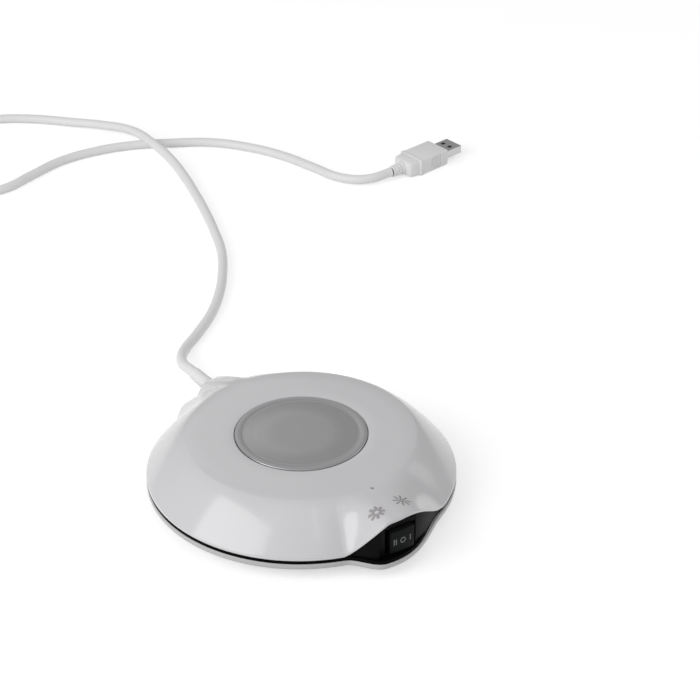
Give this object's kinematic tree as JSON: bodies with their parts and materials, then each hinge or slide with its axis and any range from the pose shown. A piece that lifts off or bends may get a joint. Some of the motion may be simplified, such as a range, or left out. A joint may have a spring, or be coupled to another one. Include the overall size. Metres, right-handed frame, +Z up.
{
  "type": "electric mug warmer",
  "caption": "Round white desk warmer for mugs and glass pots, with a three-position rocker switch in a front pod and a white USB lead from a rear pod.",
  "frame": {"origin": "on the table, under the middle of the box round the warmer without its lead", "axes": "+Z up; the switch faces -Y and the lead leaves towards +Y; +X is to the right of a user who faces the switch"},
  "size_m": [0.3204, 0.5019, 0.0302],
  "materials": {
    "shell_white": "glossy white moulded plastic",
    "base_grey": "satin pale grey moulded plastic",
    "band_black": "glossy black plastic",
    "switch_black": "satin black plastic",
    "cap_black": "satin black plastic of the rocker",
    "mark_white": "pale grey print",
    "mark_grey": "grey print",
    "contact_metal": "bare brass",
    "steel": "zinc plated steel",
    "chrome_steel": "bright nickel plate",
    "heater_face": "smooth off-white heat-proof disc",
    "foil": "etched heating foil between amber films",
    "wool": "pressed mineral fibre",
    "fuse_body": "pale ceramic tube",
    "board_green": "green lacquered board",
    "led_red": "red epoxy",
    "resistor_tan": "tan lacquer",
    "pipe_clear": "clear moulded light guide",
    "wire_red": "red insulation",
    "wire_black": "black insulation",
    "wire_orange": "orange insulation",
    "wire_yellow": "yellow insulation",
    "cord_white": "smooth white vinyl",
    "feet_grey": "soft dark grey rubber",
    "tongue_black": "black moulded plastic"
  },
  "bodies": {
    "housing": {"top_cover": "shell_white", "bottom_shell": "base_grey", "gap_ring": "band_black", "switch_band": "band_black", "switch_panel": "band_black", "cord_panel": "band_black", "switch_housing": "switch_black", "switch_terminals": "contact_metal", "heater_plate": "heater_face", "heating_element": "foil", "insulation_pad": "wool", "pressure_plate": "steel", "heater_screws": "steel", "thermal_fuse": "fuse_body", "fuse_clip": "steel", "control_board": "board_green", "indicator_led": "led_red", "led_resistor": "resistor_tan", "light_pipe": "pipe_clear", "wire_supply": "wire_red", "wire_return": "wire_black", "wire_high": "wire_orange", "wire_low": "wire_yellow", "cord_clamp": "shell_white", "clamp_screws": "steel", "strain_relief": "cord_white", "inner_cord": "cord_white", "base_screws": "steel", "rubber_feet": "feet_grey", "high_heat_mark": "mark_grey", "low_heat_mark": "mark_grey", "cord_lead_a": "cord_white", "cord_coil": "cord_white", "cord_lead_b": "cord_white", "plug_moulding": "cord_white", "plug_shell": "chrome_steel", "plug_tongue": "tongue_black", "plug_contacts": "contact_metal"},
    "rocker": {"rocker_cap": "cap_black", "rocker_mark_high": "mark_white", "rocker_mark_off": "mark_white", "rocker_mark_low": "mark_white", "rocker_plunger": "steel", "rocker_spring": "steel"},
    "see_saw": {"contact_blade": "contact_metal"}
  },
  "joints": [
    {"name": "rocker_tilt", "type": "hinge", "parent": "housing", "child": "rocker", "pos_m": [0.0013, -0.0679, 0.01715], "axis": [0, 0, 1], "range_deg": [-10, 10]},
    {"name": "see_saw_tilt", "type": "hinge", "parent": "housing", "child": "see_saw", "pos_m": [0.0013, -0.06245, 0.01715], "axis": [0, 0, 1], "range_deg": [-8, 8]}
  ],
  "couplings": [
    {"joint": "see_saw_tilt", "follows": "rocker_tilt", "ratio": -0.8}
  ]
}
